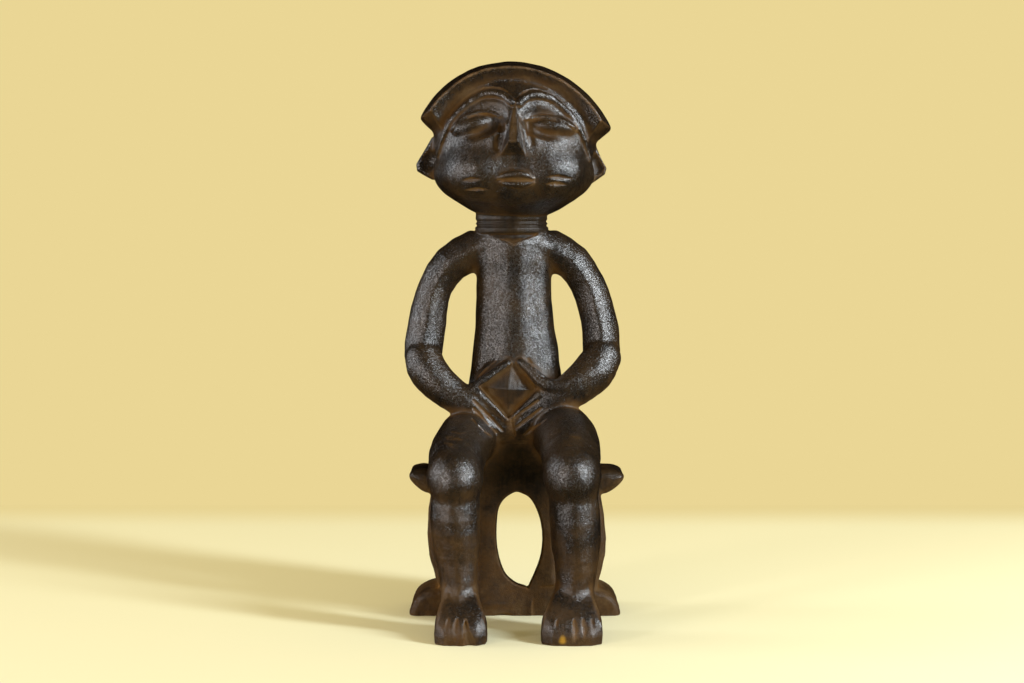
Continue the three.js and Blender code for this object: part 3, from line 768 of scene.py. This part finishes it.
def feet(block):
    block.grow("right_foot", foot_form(-25.6, -25.8, -25.3, 8, 9.6, 13.3), 3.0)
    block.grow("left_foot", foot_form(27, 27.2, 26.3, 8.4, 10.4, 15.4), 3.0)
    # between the toes
    for x, wide in ((-31.6, 1.1), (-27.4, 1.2), (-14.6, 0.9), (27.7, 1.2), (32.0, 1.2), (36.2, 1.1)):
        block.hold("right_foot" if x < 0 else "left_foot")
        top, middle, foot = (x, -79.2, 8.6, wide), (x, -81.0, 5.6, wide * 1.15), (x, -81.4, 1.0, wide * 0.6)
        gap = limb([(x * 0.98, -75.6, 11.6, 0.2), top, middle, foot], steps=1)
        block.cut(gap, 0.7)
        block.mark(gap, 0.3, "cut")
    # beside the big toes
    block.hold("right_foot")
    cleft = [(-22.9, -75.5, 10.8, 0.3), (-22.4, -80.0, 7.0, 1.5), (-20.8, -81.5, 0, 3.2)]
    block.cut(limb(cleft, steps=1), 0.4)
    block.hold("left_foot")
    cleft = [(19.6, -75.5, 11.6, 0.3), (18.6, -80.6, 7.6, 1.2), (17.8, -81.8, 0, 1.2)]
    block.cut(limb(cleft, steps=1), 0.8)
    chip = limb([(21.8, -81.6, 7.0, 0.6), (21.6, -82.2, 2.6, 2.0)], steps=1)
    block.cut(chip, 0.3)
    block.mark(chip, 1.0, "chip")


def scratches(block):
    """Where a tool slipped on the thighs."""
    rng = np.random.default_rng(7)
    for x, z, count in ((-28.4, 92.5, 10), (29.0, 91.0, 4)):
        block.hold("right_thigh" if x < 0 else "left_thigh")
        for _ in range(count):
            dx, dz = rng.uniform(-3.2, 3.2), rng.uniform(-3.0, 3.0)
            long, tilt = rng.uniform(1.0, 2.6), rng.uniform(-0.35, 0.25)
            cx, cz = x + dx, z + dz
            points = [(cx - long, cz, 0.15), (cx, cz + tilt, 0.35), (cx + long, cz + 2 * tilt, 0.15)]
            stroke = strand(block, points, 0.05, steps=2)
            block.cut(stroke, 0.1)
            block.mark(stroke, 0.3, "cut")


# ---------- surface
def corners_of(f):
    """The eight corners of a unit cube, each with its share at the places f inside it."""
    for corner in np.ndindex(2, 2, 2):
        share = 1.0
        for axis in range(3):
            share = share * (f[:, axis] if corner[axis] else 1 - f[:, axis])
        yield corner, share


def noise(points, cell, seed):
    """Smooth noise from -1 to 1, one value to a point, from a fixed lattice."""
    rng = np.random.default_rng(seed)
    size = 32
    lattice = rng.uniform(-1, 1, (size, size, size)).astype(np.float32)
    q = points / cell
    i = np.floor(q).astype(np.int32)
    f = q - i
    f = f * f * (3 - 2 * f)
    out = 0
    for (dx, dy, dz), share in corners_of(f):
        out = out + share * lattice[(i[:, 0] + dx) % size, (i[:, 1] + dy) % size, (i[:, 2] + dz) % size]
    return out


def roughen(block):
    """The unevenness that a knife leaves: long low swells, and smaller ones on top."""
    at = np.nonzero(np.abs(block.d) < 1.5)
    points = np.stack([block.axes[i][at[i]] for i in range(3)], 1)
    swell = 0.28 * noise(points, 11.0, 3) + 0.14 * noise(points, 4.5, 4)
    block.d[at] += swell.astype(np.float32)


def settle(labels):
    """Changes single samples where a form touches itself only across a corner, so that every form is a
    clean closed surface."""
    for _ in range(12):
        changed = 0
        for a, b in ((0, 1), (0, 2), (1, 2)):
            m = np.moveaxis(labels, (a, b), (0, 1))
            p, q, r, s = m[:-1, :-1], m[1:, :-1], m[:-1, 1:], m[1:, 1:]
            bad = (p == s) & (q != p) & (r != p)
            bad |= (q == r) & (p != q) & (s != q)
            spots = np.nonzero(bad)
            if len(spots[0]):
                changed += len(spots[0])
                # one corner joins the diagonal pair, or where that pair is empty, one of the pair is filled
                pv, qv = p[spots], q[spots]
                q[spots] = np.where(pv == 0, qv, pv)
                s[spots] = np.where(pv == 0, qv, s[spots])
        if not changed:
            break
    return changed


def skin_places(labels, d, cells):
    """Where each cell's vertex lies in its cell: the middle of the crossings on its twelve edges, from the
    skin if it touches the skin, and otherwise from the creases between forms inside the block."""
    total = np.zeros((len(cells[0]), 3), np.float32)
    count = np.zeros(len(cells[0]), np.float32)
    seam_total = np.zeros_like(total)
    seam_count = np.zeros_like(count)
    for axis in range(3):
        side_u, side_v = (a for a in range(3) if a != axis)
        for u, v in np.ndindex(2, 2):
            start = list(cells)
            start[side_u] = start[side_u] + u
            start[side_v] = start[side_v] + v
            end = list(start)
            end[axis] = end[axis] + 1
            la, lb = labels[tuple(start)], labels[tuple(end)]
            da, db = d[tuple(start)], d[tuple(end)]
            skin = (la > 0) != (lb > 0)
            seam = (la != lb) & ~skin
            spot = np.zeros((len(count), 3), np.float32)
            spot[:, axis] = np.where(skin, da / np.where(skin, da - db, 1), 0.5)
            spot[:, side_u] = u
            spot[:, side_v] = v
            total += spot * skin[:, None]
            count += skin
            seam_total += spot * seam[:, None]
            seam_count += seam
    outer = count > 0
    safe = np.where(outer, count, np.maximum(seam_count, 1))
    return np.where(outer[:, None], total, seam_total) / safe[:, None]


def faces_by_form(labels, index):
    """For each form, its quads, and whether each is on the outer skin. `index` numbers the vertices."""
    faces = {}
    for axis in range(3):
        side_u, side_v = (a for a in range(3) if a != axis)
        a = labels[tuple(slice(0, -1) if x == axis else slice(1, -1) for x in range(3))]
        b = labels[tuple(slice(1, None) if x == axis else slice(1, -1) for x in range(3))]
        where = np.nonzero(a != b)
        la, lb = a[where], b[where]
        ring = []
        for u, v in ((0, 0), (1, 0), (1, 1), (0, 1)):
            cell = list(where)
            cell[side_u] = cell[side_u] + u
            cell[side_v] = cell[side_v] + v
            ring.append(index[tuple(cell)])
        quads = np.stack(ring, 1)
        if axis == 1:
            quads = quads[:, ::-1]
        for label in np.unique(np.concatenate([la, lb])):
            if label == 0:
                continue
            outward = quads[la == label]
            inward = quads[lb == label][:, ::-1]
            is_skin = np.concatenate([lb[la == label] == 0, la[lb == label] == 0])
            faces.setdefault(int(label), []).append((np.vstack([outward, inward]), is_skin))
    return faces


def draw(block):
    """Surface nets over the block: one closed mesh for each form, with shared vertices where forms meet."""
    labels = np.where(block.d < 0, block.owner, 0).astype(np.uint8)
    left = settle(labels)
    if left:
        print("corners left:", left)
    inside = labels > 0
    d = np.where(inside & (block.d >= 0), np.float32(-0.02), block.d)
    d = np.where(~inside & (d < 0), np.float32(0.02), d)
    nx, ny, nz = labels.shape
    low = high = labels[:-1, :-1, :-1]
    for i, j, k in np.ndindex(2, 2, 2):
        corner = labels[i : nx - 1 + i, j : ny - 1 + j, k : nz - 1 + k]
        low, high = np.minimum(low, corner), np.maximum(high, corner)
    cells = np.nonzero(low != high)
    index = np.full(low.shape, -1, np.int32)
    index[cells] = np.arange(len(cells[0]), dtype=np.int32)
    grid = np.stack(cells, 1) + skin_places(labels, d, cells)
    places = grid * block.voxel + block.low
    normals = gradient(d, grid)
    shades = read_surface(block, d, grid, places, normals)
    return places, normals, shades, faces_by_form(labels, index)


def sample(d, at):
    """The field at fractional grid places."""
    q = np.clip(at, 0, np.array(d.shape) - 1.001)
    i = np.floor(q).astype(np.int32)
    f = (q - i).astype(np.float32)
    out = np.zeros(len(q), np.float32)
    for (dx, dy, dz), share in corners_of(f):
        out += share * d[i[:, 0] + dx, i[:, 1] + dy, i[:, 2] + dz]
    return out


def read_surface(block, d, grid, places, normals):
    """What the materials want to know at each vertex: how far it faces down, how sheltered and how exposed it
    is, and whether a tool left fresher wood there."""
    shades = {}
    shades["under"] = np.clip(0.35 - normals[:, 2], 0, 1)
    probes = (("hollow", 1, (0.9, 1.8, 3.6)), ("shelter", 1, (5.0, 8.0)), ("edge", -1, (0.7, 1.4, 2.4)))
    for name, side, steps in probes:
        open_way = 0
        for step in steps:
            far = sample(d, grid + normals * (side * step / block.voxel))
            open_way = open_way + np.clip(side * far / step, 0, 1)
        shades[name] = 1 - open_way / len(steps)
    for kind in ("cut", "chip"):
        shades[kind] = np.zeros(len(places), np.float32)
    p = places.astype(np.float32)
    for form, reach, kind, shift in block.marks:
        q = p - shift.astype(np.float32)
        near = np.nonzero(np.all((q > form.low - 2) & (q < form.high + 2), 1))[0]
        gap = form.distance(q[near, 0], q[near, 1], q[near, 2])
        shades[kind][near] = np.maximum(shades[kind][near], np.clip(1 - gap / reach, 0, 1))
    return shades


def gradient(d, at):
    """Unit normals of the field at fractional grid places."""
    out = np.zeros((len(at), 3), np.float32)
    for axis in range(3):
        step = np.zeros(3)
        step[axis] = 0.75
        out[:, axis] = sample(d, at + step) - sample(d, at - step)
    return out / np.maximum(np.linalg.norm(out, axis=1, keepdims=True), 1e-6)


# ---------- the carving
block = Block((-58, -84, -4), (60, 48, 278), VOXEL)
stool(block)
trunk(block)
arms(block)
neck(block)
head(block)
legs(block)
hands(block)
hole(block)
scratches(block)
roughen(block)
# a flat foot to stand on
block.d = common(block.d, np.broadcast_to(-block.axes[2][None, None, :], block.d.shape), 0.3)


# ---------- materials
class Shader:
    """A few words for building a node tree."""

    def __init__(self, name):
        self.material = bpy.data.materials.new(name)
        self.material.use_nodes = True
        self.tree = self.material.node_tree
        self.surface = self.tree.nodes["Principled BSDF"]
        place = self.tree.nodes.new("ShaderNodeTexCoord").outputs["Object"]
        self.place = self.op("MULTIPLY", place, (1 / MM, 1 / MM, 1 / MM), vector=True)

    def put(self, value, socket):
        if isinstance(value, bpy.types.NodeSocket):
            self.tree.links.new(value, socket)
        else:
            socket.default_value = value

    def set(self, **looks):
        """Sets or links the surface's own sockets, an underscore standing for each space in a name."""
        for name, value in looks.items():
            self.put(value, self.surface.inputs[name.replace("_", " ")])

    def op(self, kind, a, b=0.0, vector=False):
        made = self.tree.nodes.new("ShaderNodeVectorMath" if vector else "ShaderNodeMath")
        made.operation = kind
        self.put(a, made.inputs[0])
        self.put(b, made.inputs[1])
        return made.outputs[0]

    def times(self, a, b):
        return self.op("MULTIPLY", a, b)

    def total(self, *parts):
        made = parts[0]
        for part in parts[1:]:
            made = self.op("ADD", made, part)
        return made

    def swing(self, value, size):
        """The noise as a change either way: `size` times how far it is from its middle."""
        return self.times(self.op("SUBTRACT", value, 0.5), size)

    def coordinate(self, axis):
        made = self.tree.nodes.new("ShaderNodeSeparateXYZ")
        self.put(self.place, made.inputs[0])
        return made.outputs[axis]

    def noise(self, size, detail=3, stretch=(1, 1, 1), rough=0.55):
        """Noise whose features are about `size` millimetres across."""
        made = self.tree.nodes.new("ShaderNodeTexNoise")
        made.inputs["Scale"].default_value = 1.0
        made.inputs["Detail"].default_value = detail
        made.inputs["Roughness"].default_value = rough
        scale = tuple(1 / (size * s) for s in stretch)
        self.put(self.op("MULTIPLY", self.place, scale, vector=True), made.inputs["Vector"])
        return made.outputs["Fac"]

    def span(self, value, low, high, to_low=0.0, to_high=1.0):
        """Goes smoothly from to_low to to_high while the value goes from low to high."""
        made = self.tree.nodes.new("ShaderNodeMapRange")
        made.interpolation_type = "SMOOTHSTEP"
        sockets = ("Value", "From Min", "From Max", "To Min", "To Max")
        for socket, v in zip(sockets, (value, low, high, to_low, to_high)):
            self.put(v, made.inputs[socket])
        return made.outputs["Result"]

    def mix(self, share, a, b):
        made = self.tree.nodes.new("ShaderNodeMix")
        made.data_type = "RGBA"
        self.put(share, made.inputs["Factor"])
        # the colour sockets: others for plain numbers and vectors come before them under the same names
        self.put(a, made.inputs[6])
        self.put(b, made.inputs[7])
        return made.outputs[2]

    def read(self, name):
        made = self.tree.nodes.new("ShaderNodeAttribute")
        made.attribute_name = name
        return made.outputs["Fac"]

    def bump(self, height, depth, under=None):
        """Relief `depth` millimetres deep, on top of the relief `under`."""
        made = self.tree.nodes.new("ShaderNodeBump")
        made.inputs["Strength"].default_value = 1.0
        made.inputs["Distance"].default_value = depth * MM
        self.put(height, made.inputs["Height"])
        if under is not None:
            self.put(under, made.inputs["Normal"])
        return made.outputs["Normal"]


SOOT = (0.0085, 0.0060, 0.0042, 1)
UMBER = (0.028, 0.0165, 0.0070, 1)
RUSSET = (0.074, 0.036, 0.0100, 1)
OCHRE = (0.22, 0.112, 0.028, 1)
BARE = (0.46, 0.25, 0.022, 1)
DUST = (0.105, 0.073, 0.040, 1)
WORN = (0.20, 0.12, 0.065, 1)


def wood(name, dirt_and_chin_shadow, polish):
    """Old hardwood under a dark patina: browner and duller wherever a hand can't rub it, worn pale along the
    edges, fresher where a knife cut it. The second argument adds brown below the neck and takes twice as much
    away on the neck under the chin, a painted shadow of the chin; `polish` is how rubbed it is."""
    s = Shader(name)
    height = s.coordinate("Z")
    cloud = s.noise(14, 4)
    patch = s.noise(9, 3)
    streak = s.noise(1.6, 4, (1, 1, 9))
    mottle = s.noise(1.5, 5, rough=0.7)
    grain = s.noise(1.05, 1, rough=0.6)
    speck = s.noise(0.55, 3, rough=0.7)

    # how brown the surface is: most in hollows, underneath, and down by the feet; less on the neck under the
    # chin, a painted shadow
    brown = s.total(
        s.times(s.read("hollow"), 1.35), s.times(s.read("shelter"), 0.5), s.times(s.read("under"), 0.35),
        s.swing(cloud, 0.9), s.swing(mottle, 0.8), s.span(height, 35, 88, 0.45, 0.0),
        # painted shadow of the chin: above 188 mm the brown is taken away, so the neck under the chin is
        # darker
        s.span(height, 176, 188, dirt_and_chin_shadow, -2 * dirt_and_chin_shadow),
    )

    # colour
    colour = s.mix(s.span(s.total(cloud, s.times(streak, 0.6)), 0.55, 1.05), SOOT, UMBER)
    colour = s.mix(s.span(brown, 0.25, 1.15), colour, RUSSET)
    colour = s.mix(s.span(s.total(brown, s.times(speck, 0.5)), 1.40, 2.1, 0, 0.5), colour, OCHRE)
    dusty = s.times(s.span(brown, 0.5, 1.2), s.span(patch, 0.42, 0.62))
    colour = s.mix(s.times(dusty, 0.5), colour, DUST)
    worn = s.span(s.total(mottle, s.times(cloud, 0.5)), 0.62, 0.9, 0, 0.55)
    colour = s.mix(s.times(s.span(s.read("edge"), 0.30, 0.62), worn), colour, WORN)
    colour = s.mix(s.span(speck, 0.60, 0.74, 0, 0.35), colour, RUSSET)
    fresh = s.times(s.times(s.read("cut"), 0.19), s.span(mottle, 0.30, 0.60, 0.40, 1.0))
    colour = s.mix(fresh, colour, OCHRE)
    colour = s.mix(s.read("chip"), colour, BARE)

    # shine
    dull = s.total(s.span(brown, 0.25, 1.1, 0.0, 0.34), s.times(fresh, 0.2), 0.30 + 0.22 * (1 - polish))
    rubbed = s.times(s.span(brown, 0.25, 1.15, polish, 0.04), s.span(grain, 0.36, 0.60, 0.45, 1.0))

    # relief: knife facets, streaks, mottling, fine grain and open pores
    relief = s.bump(s.noise(7, 2, (1, 1, 1.6)), 0.5)
    relief = s.bump(streak, 0.12, relief)
    relief = s.bump(mottle, 0.15, relief)
    relief = s.bump(grain, 0.07, relief)
    relief = s.bump(s.span(speck, 0.35, 0.75), 0.06, relief)

    s.set(Base_Color=colour, Roughness=s.total(dull, s.swing(mottle, 0.3)), Specular_IOR_Level=0.14)
    s.set(Coat_Weight=rubbed, Coat_Roughness=0.27, Coat_IOR=1.8, Normal=relief, Coat_Normal=relief)
    return s.material


# ---------- pieces
def closed_mesh(name, corners, quads):
    mesh = bpy.data.meshes.new(name)
    mesh.vertices.add(len(corners))
    mesh.vertices.foreach_set("co", corners.ravel())
    mesh.loops.add(quads.size)
    mesh.loops.foreach_set("vertex_index", quads.ravel().astype(np.int32))
    mesh.polygons.add(len(quads))
    mesh.polygons.foreach_set("loop_start", np.arange(0, quads.size, 4, dtype=np.int32))
    mesh.polygons.foreach_set("loop_total", np.full(len(quads), 4, np.int32))
    mesh.update(calc_edges=True)
    mesh.validate()
    mesh.shade_smooth()
    return mesh


def smooth_skin(mesh, corner_normals, skin):
    """Gives the outer skin the field's normals, so that it runs on into the next form without a step. A face
    on a crease inside the block stays flat."""
    flat = np.empty(len(skin) * 3, np.float32)
    mesh.polygons.foreach_get("normal", flat)
    flat = np.repeat(flat.reshape(-1, 3), 4, 0)
    mesh.normals_split_custom_set(np.where(np.repeat(skin, 4)[:, None], corner_normals, flat).tolist())


def write_pieces(block, materials):
    """One piece for each node of the frame, in the frame's metres."""
    places, normals, shades, faces = draw(block)
    places = ((places + FOOT) * MM).astype(np.float64)
    slots = {s["node"]: s["material_slot"] for s in frame["record"]["subparts"]}
    for label, groups in sorted(faces.items()):
        node = block.names[label]
        quads = np.vstack([g[0] for g in groups])
        skin = np.concatenate([g[1] for g in groups])
        used, local = np.unique(quads, return_inverse=True)
        local = local.reshape(quads.shape)
        mesh = closed_mesh(f"carved_{node}", places[used], local)
        mesh.materials.append(materials[slots[node]])
        for name, values in shades.items():
            attribute = mesh.attributes.new(name, "FLOAT", "POINT")
            attribute.data.foreach_set("value", values[used].astype(np.float32))
        smooth_skin(mesh, normals[used][local.ravel()], skin)
        piece = placed(f"carved_{node}", mesh)
        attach(piece, "root")
        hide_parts(node)


write_pieces(block, {
    "dark_patina": wood("dark_patina", 0.0, 1.0),
    "brown_recess": wood("brown_recess", 0.22, 0.4),
})


# ---------- stage
WALL = (0.806, 0.658, 0.292, 1)


def sheet(name, corners, material):
    """A flat sheet of the studio. The wood doesn't mirror it."""
    mesh = bpy.data.meshes.new(name)
    mesh.from_pydata(corners, [], [(0, 1, 2, 3)])
    mesh.materials.append(material)
    made = placed(name, mesh)
    made.visible_glossy = False


def floor():
    """A pale table top that ends a little behind the figure, where it fades softly into the wall."""
    near, fade_from, far, side = -3.0, 0.25, 0.345, 4.0
    s = Shader("floor")
    fade = s.span(s.coordinate("Y"), fade_from / MM, far / MM)
    s.set(Base_Color=s.mix(fade, (0.80, 0.80, 0.58, 1), (0.0, 0.0, 0.0, 1)), Roughness=0.8)
    s.set(Specular_IOR_Level=0.05, Emission_Color=WALL, Emission_Strength=fade)
    sheet("floor", [(-side, near, 0), (side, near, 0), (side, far, 0), (-side, far, 0)], s.material)


def light(name, place, size, power, colour):
    """A soft box aimed at the middle of the figure."""
    data = bpy.data.lights.new(name, "AREA")
    data.shape = "RECTANGLE"
    data.size, data.size_y = size
    data.energy = power
    data.color = colour
    lamp = placed(name, data)
    lamp.location = place
    aim = Vector((0, FOOT[1] * MM, 0.14)) - Vector(place)
    lamp.rotation_euler = aim.to_track_quat("-Z", "Y").to_euler()


def backdrop():
    """A bright wall well behind, clear of a camera that circles the figure."""
    y, side, low, high = 2.4, 5.0, -2.5, 3.5
    s = Shader("backdrop")
    s.set(Base_Color=(0.02, 0.02, 0.02, 1), Roughness=1.0, Specular_IOR_Level=0.1)
    s.set(Emission_Color=WALL, Emission_Strength=1.0)
    sheet("backdrop", [(-side, y, low), (side, y, low), (side, y, high), (-side, y, high)], s.material)


def studio():
    light("key", (0.90, -0.54, 0.58), (0.12, 0.76), 17.0, (0.90, 0.96, 1.0))
    light("fill", (-0.82, -0.74, 0.26), (0.16, 0.50), 4.6, (1.0, 0.92, 0.88))
    light("side", (-1.10, 0.10, 0.40), (0.30, 0.60), 4.0, (0.96, 0.97, 1.0))
    world = bpy.data.worlds.new("studio")
    world.use_nodes = True
    surround = world.node_tree.nodes["Background"]
    surround.inputs["Color"].default_value = (0.86, 0.66, 0.34, 1)
    surround.inputs["Strength"].default_value = 0.78
    world.cycles_visibility.glossy = False
    bpy.context.scene.world = world
    bpy.context.scene.view_settings.view_transform = "Standard"


def camera():
    """A long lens just above the figure's middle, looking slightly down on it."""
    aside, away, height, down = -0.0015, 0.909, 0.2, 4.09
    data = bpy.data.cameras.new("camera")
    data.sensor_width = 36.0
    data.lens = 64.23
    view = placed("camera", data)
    view.location = (aside, FOOT[1] * MM - away, height)
    view.rotation_euler = (math.radians(90 - down), 0, 0)
    bpy.context.scene.camera = view


floor()
backdrop()
studio()
camera()
